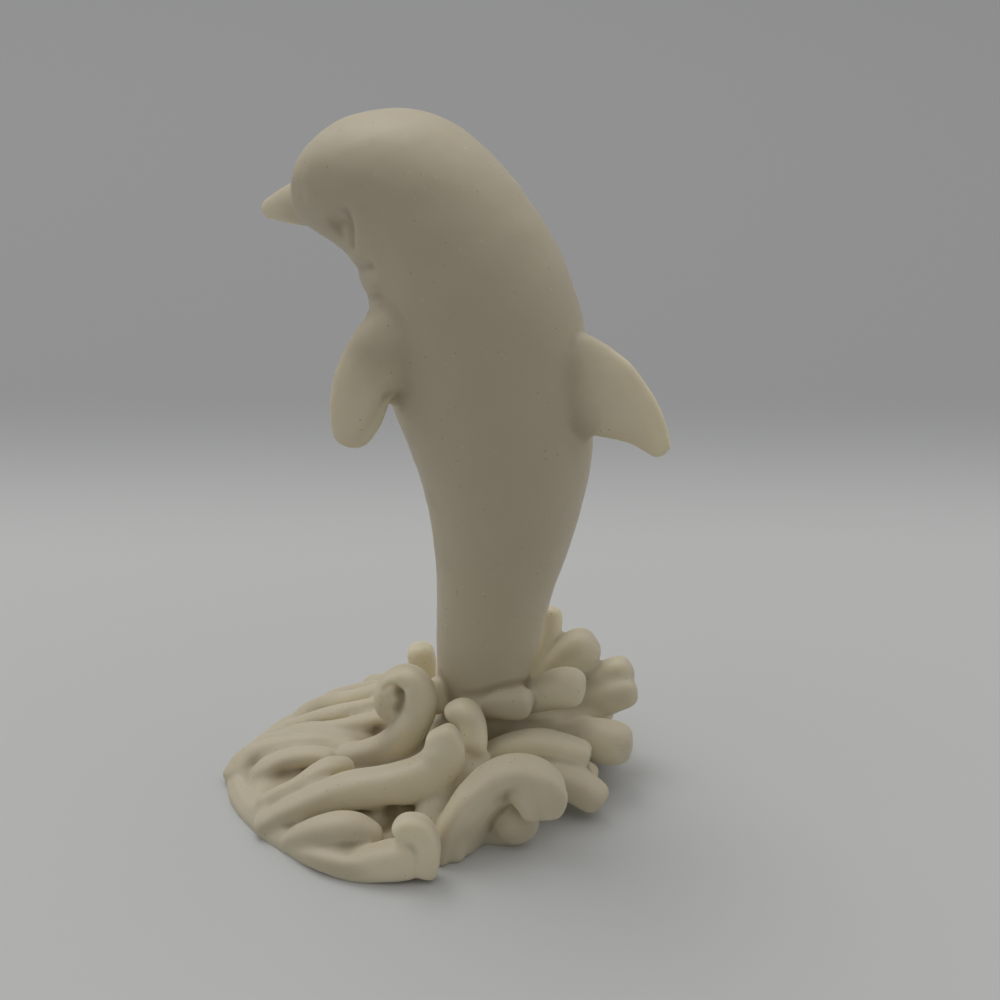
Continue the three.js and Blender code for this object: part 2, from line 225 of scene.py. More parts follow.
flipperStations = {
    "root": (-1, 6, 84), "aside": 6, "length": 25, "chord": 9.8, "thickness": 5,
    "broad": (0.55, -0.25, -0.8),                     # its broad direction, y for the far side
    "shoulder": [                                     # joins it to the body, on the left side
        [-3, 0, 87.5, 2.6, 2.6], [-5, -2.6, 87.3, 2.2, 2.2],
        [-6.4, -4.6, 86, 1.6, 1.6], [-7, -6, 84, 1, 1],
    ],
    "web": [                                          # the same, behind it
        [-2.7, -3.4, 74.2, 1.8, 2], [-3.2, -4.8, 73.2, 1.8, 2], [-3.8, -6.2, 71.9, 1.5, 1.6],
    ],
    "shares": [                                       # out, aside, down, chord, thickness
        [0.02, 0, -0.04, 1.6, 2.4], [-0.045, 0.14, -0.08, 1.42, 2.1],
        [-0.11, 0.28, -0.13, 1.27, 1.6], [-0.16, 0.35, -0.21, 1.14, 1.25],
        [-0.2, 0.4, -0.3, 1.06, 1.08], [-0.225, 0.45, -0.48, 0.95, 0.95],
        [-0.25, 0.48, -0.62, 0.74, 0.8], [-0.27, 0.5, -0.73, 0.4, 0.5],
    ],
}


def beak(d):
    root, aim = np.array(d["root"]), unit(d["aim"])
    rows = []
    for run, deep, broad in d["shares"]:
        place = root + aim * run * d["length"]
        rows.append([*place, d["depth"] / 2 * deep, d["width"] / 2 * broad])
    return strand(rows, facing=sideways)


def backFin(d):
    x, y, z = d["root"]
    rows = []
    for out, down, chord, thick in d["shares"]:
        place = (x + out * d["reach"], y, z + down * d["reach"])
        rows.append([*place, d["chord"] / 2 * chord, d["thickness"] / 2 * thick])
    return strand(rows, facing=sideways)


def flipper(d, side):                                 # side is -1 on the dolphin's left, 1 on its right
    x, y, z = d["root"]
    long = d["length"]
    rows = []
    for out, aside, down, chord, thick in d["shares"]:
        place = (x + out * long, y + side * (d["aside"] + aside * long), z + down * long)
        rows.append([*place, d["chord"] / 2 * chord, d["thickness"] / 2 * thick])
    bx, by, bz = d["broad"]
    return strand(rows, across=unit((bx, side * by, bz)))


def flipperJoin(d, name, side):
    rows = []
    for x, y, z, broad, thick in d[name]:
        rows.append([x, dolphinMiddle + side * (dolphinMiddle - y), z, broad, thick])
    return strand(rows, across=(toViewer[0], -side * toViewer[1], 0))


# The waves, strand by strand

frontWaves = {
    "tall curl": (toViewer, [
        [-21.2, -11, 4.1, 2.2, 1.6], [-13.9, -10.2, 5.5, 2.4, 1.9], [-8.7, -9.6, 6.9, 2.6, 2.3],
        [-4, -8.6, 9.3, 2.8, 2.6], [-0.9, -7.4, 12.2, 2.9, 2.9], [0.5, -5.9, 15.3, 2.9, 3],
        [0.7, -5.2, 18.3, 2.9, 2.9], [-0.3, -5, 20.9, 2.8, 2.4], [-2.8, -5.3, 21.5, 2.7, 1.9],
        [-5.1, -6.1, 20, 2.6, 1.6], [-5.9, -6.7, 17.4, 2.5, 1.5], [-4.8, -6.5, 15, 2.4, 1.6],
        [-3.5, -5.9, 16.3, 2.3, 1.5], [-4.3, -6.3, 17.9, 2.2, 1.3],
    ]),
    "paddle": (toViewer, [
        [-18.9, -28.1, 1, 3.8, 1.8], [-13.1, -26.4, 4.5, 3.5, 2.2], [-8.8, -24.3, 6.2, 3.3, 2.7],
        [-4.2, -22.1, 7.8, 3.1, 3], [1.3, -19.9, 8.7, 3, 3.5], [5.7, -17.8, 10, 3, 3.6],
        [8.6, -15.6, 11.6, 3, 3.7], [9.7, -14.4, 14, 3, 3.6], [9.1, -13.6, 16.2, 2.9, 3.2],
        [7.8, -13.4, 18.4, 2.5, 2.6],
    ]),
    "curl heart": (toViewer, [
        [-4.8, -5.1, 15.8, 2.4, 2.6], [-4.7, -5.1, 18, 2.4, 2.6],
    ]),
    "curl fill": (toViewer, [
        [-3.4, -5.4, 16.4, 2.6, 2.4], [-3.4, -5.3, 19.4, 2.6, 2.4],
    ]),
    "behind the curl": (toViewer, [
        [1, 0.5, 19.6, 1.7, 1.6], [1.4, -0.4, 16.4, 1.8, 1.7], [2, -1.3, 13.1, 1.8, 1.8],
    ]),
    "curl knob": (toViewer, [
        [-4.7, -7, 17.4, 1.8, 1.7], [-4.1, -7, 18.7, 1.7, 1.6],
    ]),
    "upper leaf": (None, [
        [-20.3, -25.5, 2.5, 2, 1.5], [-16.7, -24.4, 4.6, 2.1, 1.7], [-13.6, -22.7, 6.4, 2.2, 1.8],
        [-11.4, -20.2, 7.8, 2.5, 2], [-9.7, -17.7, 8.4, 2.5, 2], [-8, -14.3, 7.6, 1.7, 1.4],
    ]),
    "small leaf": (None, [
        [-25.7, -18.6, 2.2, 2.2, 1.5], [-23.8, -16.5, 4.2, 2.3, 1.6], [-20.3, -14.5, 5.8, 2.3, 1.7],
        [-16.3, -13.4, 6.8, 2.2, 1.5], [-12.7, -12.1, 6.6, 2, 1.3],
    ]),
    "front leaf": (None, [
        [-12, -31, 0.6, 2, 1.4], [-7.5, -31, 3.4, 2.7, 2.3], [-3.6, -30.2, 4.7, 3.2, 3],
        [-0.3, -28.8, 4.8, 3.2, 3.1], [2.4, -27.6, 4.2, 2.6, 2.4], [4.3, -26.5, 3.5, 1.8, 1.5],
    ]),
    "hook": (toViewer, [
        [-9.4, -32, 0.8, 1.6, 1.2], [-3.1, -33.8, 1.7, 2.1, 1.9], [2.6, -33.3, 1.7, 2.8, 2.5],
        [8, -31.8, 3.1, 3, 3.2], [12.7, -29.8, 4, 2.8, 3.4],
    ]),
    "hook roll": (toViewer, [
        [13.9, -29.9, 0.3, 1.8, 1.7], [14.2, -29.6, 4, 2.4, 2], [14, -29.5, 7.3, 2.5, 2.1],
        [12.8, -29.9, 9.6, 2.4, 2.1], [11, -30.6, 9.9, 2.2, 1.9], [9.4, -31.2, 8.1, 1.9, 1.6],
    ]),
    "hook web": (toViewer, [
        [10, -30.6, 5.6, 2, 1.8], [11.1, -30.2, 7, 2, 1.8], [11.8, -29.8, 8.5, 2, 1.8],
    ]),
    "breaking wave": (toViewer, [
        [12.9, -23.3, -0.6, 3, 1.6], [14, -22.4, 5.4, 3, 1.6], [15.5, -20.6, 9, 3.2, 1.7],
        [17.1, -18.5, 11.3, 3.4, 1.8], [19, -16.3, 12.8, 3.6, 2.1], [21.9, -14.1, 13.7, 3.8, 2.5],
        [25.4, -13.1, 13.7, 3.6, 2.6], [28.2, -13.3, 12.4, 3.2, 2.6], [29.3, -13.9, 10.4, 2.4, 2.2],
        [29.2, -14.9, 8.2, 1.6, 1.5],
    ]),
    "inner sheet": ((0.2, 0.98, 0), [
        [15.8, -19.7, -0.6, 4, 1.6], [16.7, -18.5, 3.2, 4, 1.7], [18.1, -17, 6, 4, 1.7],
        [19.8, -15.1, 8.3, 3.6, 1.6], [21.8, -13.5, 9.3, 3, 1.4],
    ]),
    "sheet fill": (toViewer, [
        [15, -22.4, -0.6, 2.2, 2], [15.8, -21.1, 5.1, 2.2, 2], [17.3, -19.5, 8.1, 2.2, 2],
        [18.8, -17.7, 10.1, 2.2, 2], [20.9, -15.6, 11.4, 2.2, 2],
    ]),
    "hollow foot": (None, [
        [12, -16, 1.2, 2.8, 2.6], [15.6, -14.6, 1.2, 2.8, 2.6], [20, -13.2, 1.2, 2.8, 2.6],
        [24, -12, 1.2, 3, 3],
    ]),
    "valley": (toViewer, [
        [11.4, -5.4, 11.4, 2.4, 3], [11.8, -9.2, 9.6, 2.4, 3.4], [11.3, -13.4, 7.4, 2.5, 3.6],
        [10.3, -17.8, 5.2, 2.6, 3.6], [9.6, -21, 3, 2.6, 3.4], [9, -23.8, 0, 2.6, 3.2],
    ]),
    "hood": (toViewer, [
        [20.8, -14.6, 12.9, 2, 1.8], [24.7, -14.9, 12.4, 2.2, 3.4], [27.6, -15, 11.2, 2, 4.2],
        [28.6, -15.3, 9.6, 1.7, 3.8], [28.9, -15.8, 7.2, 1.3, 2],
    ]),
    "lip": (toViewer, [
        [22, -14.7, 12.6, 2, 2], [24.8, -15.3, 11.4, 2, 2.9], [26.6, -15.9, 9.4, 1.8, 2.6],
        [27.2, -16.5, 6.8, 1.4, 1.8],
    ]),
    "bead": (None, [
        [17.6, -9.2, 3.9, 3, 3], [21.2, -12.2, 4.1, 3.8, 3.8], [25, -16.5, 3.9, 4.1, 4.1],
    ]),
    "wall": (None, [
        [5, -13, 4, 4, 3], [11.5, -15, 4.6, 5, 3.2], [17, -11.5, 5.4, 5, 3], [20, -6, 5.4, 4, 2.6],
        [20, 0, 4, 3, 2.6],
    ]),
    "arched lump": (toViewer, [
        [6, -5.8, 15.6, 2, 1.6], [7.1, -5.3, 16.6, 2.4, 2], [8.7, -5.1, 17.3, 2.7, 2.3],
        [10.2, -5.5, 16.7, 2.8, 2.3], [11.2, -6.2, 14.8, 2.8, 2.3], [11.9, -7.6, 13, 2.6, 2.3],
        [12.2, -9.4, 11.4, 2.4, 2.4],
    ]),
}
rightFingers = [
    [
        [6.3, -0.6, 15.6, 1.7, 1.7], [10.3, 0.4, 16.6, 2.3, 2.4], [14.1, 1.5, 17.1, 2.7, 2.9],
        [18.3, 2.6, 17, 2.4, 2.5],
    ],
    [
        [13, 6, 13.8, 2, 2], [17.3, 7, 16.5, 2.8, 2.8], [21.3, 8.3, 18.2, 3.4, 3.5],
        [25.3, 9.5, 17.9, 3, 3.1],
    ],
    [
        [11.7, -3.2, 8.2, 2.2, 2.1], [15.8, -1.3, 10, 2.6, 2.5], [20.6, 0.5, 10.8, 2.7, 2.7],
        [25.2, 2, 10.1, 2.5, 2.5], [29, 3.2, 9, 2, 2],
    ],
    [
        [12, 0, 5.4, 2.4, 2.2], [18.6, 0.9, 6.6, 2.2, 2], [25, 2.6, 6.6, 2.2, 2],
        [30, 4.1, 4.8, 1.7, 1.6],
    ],
    [
        [14.9, 9, 6.1, 3, 3], [22.6, 9.5, 8.1, 3.3, 3.2], [28.4, 10, 8.4, 3.8, 3.7],
        [33.7, 11.2, 8.1, 3.4, 3.3],
    ],
    [
        [12, -3, 4, 2.8, 2.6], [15.8, -3.4, 4.7, 2.6, 2.5], [22.9, -2.4, 6.4, 2.9, 2.8],
        [28.3, -1.1, 5.5, 3.1, 3], [33.1, -0.9, 2.8, 2.7, 2.6],
    ],
    [
        [13.8, 14, 10.1, 3, 3], [17.9, 17.4, 13.2, 2.9, 2.9], [22.9, 21, 17, 2.6, 2.6],
    ],
    [
        [11, 12, 9, 3, 3], [14.8, 16, 14.6, 3.6, 3.5], [18.8, 19, 19, 3.9, 3.8],
        [22.6, 20.6, 21.8, 3.3, 3.2],
    ],
    [
        [9, 12, 10, 2.8, 2.8], [12.6, 16.6, 17.6, 2.6, 2.5], [13.8, 19.4, 23, 2.2, 2.1],
        [13.9, 20.8, 26.8, 1.8, 1.8],
    ],
    [
        [14, 13, 7, 3, 3], [20, 17.6, 11.6, 3.1, 3.1], [25.2, 20.6, 15.2, 3, 2.9],
        [28.8, 22, 17.4, 2.4, 2.4],
    ],
    [
        [15, 12, 6, 3, 3], [20.4, 15.8, 9.8, 3.1, 3.1], [26, 18.2, 12.6, 3.2, 3.1],
        [30.4, 20.6, 14.2, 2.8, 2.6],
    ],
    [
        [10.5, 2.7, 8.1, 2.4, 2.4], [15.3, 8.2, 8.4, 3, 3], [21.2, 13.2, 8.8, 3, 3],
        [24.9, 17.1, 9.7, 2.4, 2.4],
    ],
]
rimRidges = [
    [
        [-30, 5.2, 1.2, 3, 2], [-25.2, 6.6, 4.6, 2.5, 1.8], [-19.1, 6.2, 7.4, 2.2, 1.8],
        [-12, 6.6, 10.6, 2.1, 1.8],
    ],
    [
        [-29.6, -0.6, 1.6, 2.8, 1.8], [-22.4, 0.7, 5.6, 2.2, 1.7], [-16.6, 1.2, 8.2, 2, 1.6],
        [-10, 3, 10.4, 1.9, 1.6],
    ],
    [
        [-31, -7, 1.2, 2.8, 1.8], [-23.5, -5.3, 5.2, 2.4, 1.7], [-17.2, -3.9, 7, 2.2, 1.6],
        [-9, -1, 9.4, 2, 1.5], [-4.9, 0.1, 9.4, 1.7, 1.3],
    ],
    [
        [-29.7, -18.8, 0.8, 2.6, 1.6], [-29, -14, 3.6, 2.5, 1.7], [-23.4, -11, 5.8, 2.3, 1.7],
        [-16.7, -8.6, 6.7, 2, 1.6], [-10.1, -6.8, 6.1, 1.8, 1.4], [-5.2, -5.6, 5.6, 1.4, 1.2],
    ],
    [
        [-31.4, -13, 0.8, 2.8, 1.6], [-28.4, -9, 3.4, 2.7, 1.7], [-21, -7.4, 5.6, 2.3, 1.6],
        [-14, -5.2, 6.4, 2, 1.5], [-7.4, -3.6, 6.2, 1.6, 1.3],
    ],
]
farWaves = {
    "far curl": (toViewer, [
        [-24.1, 20, 1.7, 2.8, 2], [-16.1, 18.5, 5.1, 2.6, 2.2], [-10.7, 16.5, 7.8, 2.6, 2.4],
        [-9.3, 15.3, 11.6, 2.5, 2.4], [-9.4, 14.8, 14.3, 2.6, 2.6], [-9.6, 14.5, 17.1, 2.6, 2.6],
    ]),
    "far ridge": (None, [
        [-28.6, 12.4, 1.2, 3.2, 1.9], [-21, 12.6, 5, 2.7, 1.9], [-14, 11.6, 7.8, 2.4, 1.8],
        [-7, 10, 10.4, 2.2, 1.8],
    ]),
    "far paddle": (toViewer, [
        [-19, 27.4, 0.5, 4.6, 2.4], [-12.5, 26, 4.2, 4.2, 2.7], [-6, 24.4, 6.4, 3.8, 2.8],
        [0.4, 23, 8, 3.6, 2.9], [5.6, 21, 10, 3.4, 2.8], [8, 18.6, 13.4, 3.1, 2.5],
    ]),
    "far leaf": (None, [
        [-12, 31.4, 0.5, 3, 1.8], [-6, 30.6, 3.2, 3.3, 2.3], [0, 29.4, 4.6, 3.5, 2.8],
        [4.6, 27.6, 4.8, 2.8, 2.4],
    ]),
    "far hook": (toViewer, [
        [-3, 32.8, 0.5, 2.4, 1.8], [4, 32, 2.2, 3, 2.4], [10, 29.8, 3.8, 3.1, 2.9],
        [13, 27.8, 6.6, 2.9, 2.5], [11.6, 27.2, 9.6, 2.5, 2],
    ]),
    "far fingers a": (None, [
        [8, 17, 6, 3.2, 2.8], [14.6, 22.6, 8.6, 3, 2.6], [18.6, 26.6, 8.6, 2.7, 2.5],
    ]),
    "far fingers b": (None, [
        [12, 16, 5, 3, 2.6], [19.6, 21, 6.6, 2.8, 2.5], [24.4, 24.6, 5.6, 2.6, 2.4],
    ]),
    "far fingers c": (None, [
        [14, 12, 4, 3, 2.6], [23, 15, 5, 2.8, 2.5], [29, 16.6, 4, 2.5, 2.3],
    ]),
}


squareness = {                                        # how boxy each strand's section is
    "paddle": 3.2, "hook": 3.0, "hook roll": 3.0, "hood": 3.2, "lip": 2.6, "breaking wave": 2.6,
    "tall curl": 2.5, "bead": 2.0, "curl heart": 2.0, "curl knob": 2.0, "fingers": 2.6, "others": 2.3,
}


def allStrands():
    made = [beak(beakStations), backFin(finStations)]
    for side in (-1, 1):
        made.append(flipper(flipperStations, side))
    for name in ("shoulder", "web"):
        for side in (-1, 1):
            made.append(flipperJoin(flipperStations, name, side))
    for name, (way, rows) in {**frontWaves, **farWaves}.items():
        square = squareness.get(name, squareness["others"])
        made.append(strand(rows, across=way, square=square))
    for rows in rightFingers:
        made.append(strand(rows, square=squareness["fingers"]))
    for rows in rimRidges:
        made.append(strand(rows))
    return made


sweep = {
    "step": 0.0004,                                   # metres between rings
    "sides": 32,
    "smoothness": 24,                                 # points between two stations before the even steps
    "capShare": 0.4,                                  # longest rounded tip, as a share of the strand
    "thinnest": 0.0004,                               # share of the section left at the very tip
}


def pathMesh(strands):                                # one line of stations for each strand
    points, edges = [], []
    values = {name: [] for name in ("halfBroad", "halfThin", "startCap", "endCap", "square", "thinWay")}
    for rows, thin, square in strands:
        start = len(points)
        points += (rows[:, :3] / metre).tolist()
        edges += [(start + i, start + i + 1) for i in range(len(rows) - 1)]
        long = np.linalg.norm(np.diff(rows[:, :3], axis=0), axis=1).sum()
        values["halfBroad"] += (rows[:, 3] / metre).tolist()
        values["halfThin"] += (rows[:, 4] / metre).tolist()
        for name, row in (("startCap", rows[0]), ("endCap", rows[-1])):
            values[name] += [min(row[3], row[4], sweep["capShare"] * long) / metre] * len(rows)
        values["square"] += [square] * len(rows)
        values["thinWay"] += thin.ravel().tolist()
    mesh = bpy.data.meshes.new("strandPaths")
    mesh.from_pydata(points, edges, [])
    for name, numbers in values.items():
        kind, key = ("FLOAT_VECTOR", "vector") if name == "thinWay" else ("FLOAT", "value")
        mesh.attributes.new(name, kind, "POINT").data.foreach_set(key, numbers)
    return mesh


class TreeBuilder:                                    # small shorthand for nodes and links
    def __init__(self, tree):
        self.tree = tree

    def node(self, kind, inputs=None, **settings):
        made = self.tree.nodes.new(kind)
        for name, value in settings.items():
            setattr(made, name, value)
        for key, value in (inputs or {}).items():
            if isinstance(value, bpy.types.NodeSocket):
                self.tree.links.new(value, made.inputs[key])
            else:
                made.inputs[key].default_value = value
        return made

    def math(self, operation, *values, clamp=False):
        inputs = dict(enumerate(values))
        return self.node("ShaderNodeMath", inputs, operation=operation, use_clamp=clamp).outputs[0]

    def ranged(self, value, fromMin=0.0, fromMax=1.0, toMin=0.0, toMax=1.0, kind="LINEAR"):
        ends = {"From Min": fromMin, "From Max": fromMax, "To Min": toMin, "To Max": toMax}
        made = self.node("ShaderNodeMapRange", {"Value": value, **ends}, interpolation_type=kind)
        return made.outputs["Result"]

    def vector(self, operation, *values):
        made = self.node("ShaderNodeVectorMath", operation=operation)
        for i, value in enumerate(values):
            socket = made.inputs["Scale"] if operation == "SCALE" and i == 1 else made.inputs[i]
            if isinstance(value, bpy.types.NodeSocket):
                self.tree.links.new(value, socket)
            else:
                socket.default_value = value
        return made.outputs["Value"] if operation == "DOT_PRODUCT" else made.outputs["Vector"]


def strandTree():
    tree = bpy.data.node_groups.new("sweptStrands", "GeometryNodeTree")
    tree.interface.new_socket("Geometry", in_out="INPUT", socket_type="NodeSocketGeometry")
    tree.interface.new_socket("Step", in_out="INPUT", socket_type="NodeSocketFloat")
    tree.interface.new_socket("Sides", in_out="INPUT", socket_type="NodeSocketInt")
    tree.interface.new_socket("Smoothness", in_out="INPUT", socket_type="NodeSocketInt")
    tree.interface.new_socket("Stone", in_out="INPUT", socket_type="NodeSocketMaterial")
    tree.interface.new_socket("Geometry", in_out="OUTPUT", socket_type="NodeSocketGeometry")
    b = TreeBuilder(tree)
    given = b.node("NodeGroupInput").outputs

    def stored(geometry, name, value):
        inputs = {"Geometry": geometry, "Name": name, "Value": value}
        made = b.node("GeometryNodeStoreNamedAttribute", inputs, data_type="FLOAT_VECTOR")
        return made.outputs["Geometry"]

    def named(name, kind="FLOAT"):
        made = b.node("GeometryNodeInputNamedAttribute", {"Name": name}, data_type=kind)
        return made.outputs["Attribute"]

    # a smooth curve through each strand's stations
    curve = b.node("GeometryNodeMeshToCurve", {"Mesh": given["Geometry"]}).outputs["Curve"]
    curve = b.node("GeometryNodeCurveSplineType", {"Curve": curve}, spline_type="CATMULL_ROM")
    inputs = {"Geometry": curve.outputs["Curve"], "Resolution": given["Smoothness"]}
    curve = b.node("GeometryNodeSetSplineResolution", inputs).outputs["Geometry"]
    inputs = {"Curve": curve, "Length": given["Step"]}
    curve = b.node("GeometryNodeResampleCurve", inputs, mode="LENGTH").outputs["Curve"]

    # rounded tips
    run = b.node("GeometryNodeSplineParameter").outputs["Length"]
    whole = b.node("GeometryNodeSplineLength").outputs["Length"]
    left = b.math("DIVIDE", run, named("startCap"), clamp=True)
    right = b.math("DIVIDE", b.math("SUBTRACT", whole, run), named("endCap"), clamp=True)
    short = b.math("SUBTRACT", 1.0, b.math("MINIMUM", left, right))
    square = named("square")
    tip = b.math("SUBTRACT", 1.0, b.math("POWER", short, square))
    tip = b.math("POWER", b.math("MAXIMUM", tip, sweep["thinnest"]), b.math("DIVIDE", 1.0, square))

    # the section's two directions
    along = b.node("GeometryNodeInputTangent").outputs["Tangent"]
    rough = named("thinWay", "FLOAT_VECTOR")
    flat = b.vector("SUBTRACT", rough, b.vector("SCALE", along, b.vector("DOT_PRODUCT", rough, along)))
    thin = b.vector("NORMALIZE", flat)
    broad = b.vector("CROSS_PRODUCT", thin, along)
    halfBroad = b.math("MULTIPLY", named("halfBroad"), tip)
    halfThin = b.math("MULTIPLY", named("halfThin"), tip)
    curve = stored(curve, "middle", b.node("GeometryNodeInputPosition").outputs[0])
    curve = stored(curve, "broadArm", b.vector("SCALE", broad, halfBroad))
    curve = stored(curve, "thinArm", b.vector("SCALE", thin, halfThin))

    # the skin round it
    ring = b.node("GeometryNodeCurvePrimitiveCircle", {"Resolution": given["Sides"], "Radius": 1.0})
    ring = stored(ring.outputs["Curve"], "ringPlace", b.node("GeometryNodeInputPosition").outputs[0])
    inputs = {"Curve": curve, "Profile Curve": ring, "Fill Caps": True}
    skin = b.node("GeometryNodeCurveToMesh", inputs).outputs["Mesh"]
    place = b.node("ShaderNodeSeparateXYZ", {0: named("ringPlace", "FLOAT_VECTOR")}).outputs

    def boxier(value):
        size = b.math("POWER", b.math("ABSOLUTE", value), b.math("DIVIDE", 2.0, square))
        return b.math("MULTIPLY", size, b.math("SIGN", value))

    across = b.vector("SCALE", named("broadArm", "FLOAT_VECTOR"), boxier(place["X"]))
    outward = b.vector("SCALE", named("thinArm", "FLOAT_VECTOR"), boxier(place["Y"]))
    spot = b.vector("ADD", named("middle", "FLOAT_VECTOR"), b.vector("ADD", across, outward))
    skin = b.node("GeometryNodeSetPosition", {"Geometry": skin, "Position": spot}).outputs["Geometry"]
    skin = b.node("GeometryNodeRealizeInstances", {"Geometry": skin}).outputs["Geometry"]
    inputs = {"Geometry": skin, "Material": given["Stone"]}
    skin = b.node("GeometryNodeSetMaterial", inputs).outputs["Geometry"]
    b.node("NodeGroupOutput", {"Geometry": skin})
    return tree


def sweptStrands(strands, stone):
    paths = linked("strandPaths", pathMesh(strands))
    tree = strandTree()
    modifier = paths.modifiers.new("sweep", "NODES")
    modifier.node_group = tree
    sockets = {s.name: s.identifier for s in tree.interface.items_tree if s.in_out == "INPUT"}
    modifier[sockets["Step"]] = sweep["step"]
    modifier[sockets["Sides"]] = sweep["sides"]
    modifier[sockets["Smoothness"]] = sweep["smoothness"]
    modifier[sockets["Stone"]] = stone
    mesh = applied(paths, "sweptStrands")
    paths.modifiers.clear()
    bpy.data.objects.remove(paths)
    return mesh


# The mound of water under the strands

mound = {
    "radius": 36.0, "height": 13.0, "rim": 3.2, "below": -1.5,
    "foot": (7.0, 6.0),                               # where the dolphin's stem stands
    "edgeShares": [0.5, 0.58, 0.72, 0.83, 0.88, 0.88, 0.92, 1, 0.97, 0.93, 0.5, 0.43],
    "edgeSteps": 20,                                  # points from one of these to the next
    "profile": [                                      # shares of the edge, the rim and the climb
        (1.0, 0.4, 0), (0.97, 0.8, 0), (0.9, 1, 0), (0.68, 1, 0.13), (0.48, 1, 0.34), (0.25, 1, 0.8),
        (0.1, 1, 1),
    ],
}


def moundMesh(m):
    shares = np.array(m["edgeShares"])
    angle = np.linspace(0, 2 * math.pi, len(shares), endpoint=False)
    corner = np.stack([np.cos(angle), np.sin(angle)], 1) * (shares * m["radius"])[:, None]
    steps = m["edgeSteps"]
    wrapped = np.vstack([corner[-2:], corner, corner[:3]])
    loop = smoothRows(wrapped, (len(shares) + 4) * steps + 1)[2 * steps:(2 + len(shares)) * steps]
    climb = m["height"] - m["rim"]
    levels = [(1.0, m["below"])]
    for share, ofRim, ofClimb in m["profile"]:
        levels.append((share, m["rim"] * ofRim + climb * ofClimb))
    rings = []
    for share, z in levels:
        flat = loop * share + np.array(m["foot"]) * (1 - share)
        rings.append(np.column_stack([flat, np.full(len(flat), z)]) * grow)
    return loftMesh("mound", np.array(rings))


# Stone surface: one skin over everything, then the carver's softening and marks

carving = {
    "voxel": 0.00036,                                 # metres
    "fillets": 24,                                    # passes that fill the creases
    "stride": 0.8,                                    # share of the way that a pass moves
    "slide": 0.3,                                     # the same, along the surface
    "ridgeWear": 0.06,                                # how much ridges wear, where creases fill fully
    "turnEvery": 6,                                   # passes between new surface directions
    "blends": 120,                                    # more passes round the fins' and beak's roots
    "blendPlaces": [
        [26, 6, 77], [-3, -7, 81], [-3, 19, 81], [1.5, -8, 80], [1.5, 20, 80], [-24, 6, 101],
    ],
    "blendReach": 8.0,                                # mm
    "leastBlend": 0.01,
    "trianglesKept": 190000,
    "waves": [(0.16, 0.16), (0.42, 0.07)],            # waves to the mm, height in mm
    "sharpAngle": 55,                                 # degrees
}
marks = {                                             # path, radius, depth inward, whether on both sides
    "jaw hollow": ([[-13.9, -3.3, 99.3], [-12.5, -4, 100.2]], 2.1, 0.9, True),
    "jaw crease": ([
        [-11.2, -5.1, 102.6], [-10.7, -5, 101.3], [-10.9, -4.4, 99.5], [-11.3, -3.4, 97],
    ], 0.9, 0.5, True),
    "mouth corner": ([
        [-21.8, -1.8, 104.6], [-20.6, -2.8, 104.6], [-20.6, -2.7, 103.6],
    ], 1.3, 0.35, True),
    "upper throat roll": ([
        [-13.8, 6, 93], [-13, 0, 93.9], [-11.6, -2.4, 94.8], [-9, -4.2, 95.8],
    ], 1.2, -0.1, True),
    "throat crease": ([
        [-12.6, 6, 91.4], [-11, 0, 92.6], [-9.6, -2.6, 93.2], [-7.4, -4.6, 94.2],
    ], 1.3, 0.55, True),
    "lower throat roll": ([
        [-11.8, 6, 89.4], [-10.4, 0, 90.4], [-8.6, -3, 91], [-6, -5, 91.8],
    ], 1.8, -0.4, True),
    "shoulder crease": ([
        [-10.6, 6, 87], [-9, 0, 88], [-7.2, -3.8, 89.2], [-5.3, -5.2, 90.4],
    ], 1.2, 0.3, True),
    "flipper ridge": ([
        [-2.8, -10.5, 79], [-3.5, -11.3, 76.5], [-4.5, -12.5, 73.3], [-5.6, -13.5, 69.7],
    ], 1.6, -0.35, True),
    "flipper inside": ([
        [-2.2, -9.6, 73.8], [-2.9, -10.6, 71.8], [-3.9, -11.6, 69.8], [-5.2, -12.8, 68],
    ], 1.7, 0.8, True),
    "curl hollow": ([[-9, -3, 8], [-8.2, 0.1, 8.8]], 1.6, 0.7, False),
    "hood groove": ([
        [26.6, -17, 13.5], [27.5, -17.4, 11.7], [28.2, -17.7, 9.4], [28.4, -17.8, 7.6],
    ], 0.8, 0.25, False),
    "curl spiral": ([
        [-4.6, -8.9, 20.3], [-3.8, -8.5, 21.1], [-2.7, -8, 20.9], [-2, -7.7, 19.7],
        [-1.9, -7.6, 18], [-2.5, -7.9, 16.6],
    ], 0.7, 0.55, False),
    "leaf groove": ([[-20, -17.8, 4.6], [-17.3, -17.8, 5.6], [-15.5, -17.2, 6.2]], 1.4, 0.3, False),
    "paddle groove": ([
        [-6.6, -19.3, 8.8], [-9.9, -22.2, 8.4], [-13.2, -24.6, 6.8], [-16.6, -26.4, 4.4],
    ], 1.0, 0.6, False),
    "leaf end": ([[2.9, -23.6, 4.6], [3.6, -21.2, 4.6]], 1.8, 1.2, False),
    "rim step": ([
        [-23.6, -24.4, 3], [-26.4, -18, 3.6], [-27.4, -12, 4.2], [-26.4, -9, 4.8],
    ], 1.4, 0.25, False),
}


def vertexArray(mesh):
    flat = np.empty(len(mesh.vertices) * 3, np.float32)
    mesh.vertices.foreach_get("co", flat)
    return flat.reshape(-1, 3).astype(float) * metre


def normalArray(mesh):
    flat = np.empty(len(mesh.vertices) * 3, np.float32)
    mesh.vertex_normals.foreach_get("vector", flat)
    return flat.reshape(-1, 3).astype(float)


def setVertices(mesh, points):
    mesh.vertices.foreach_set("co", (points / metre).astype(np.float32).ravel())
    mesh.update()


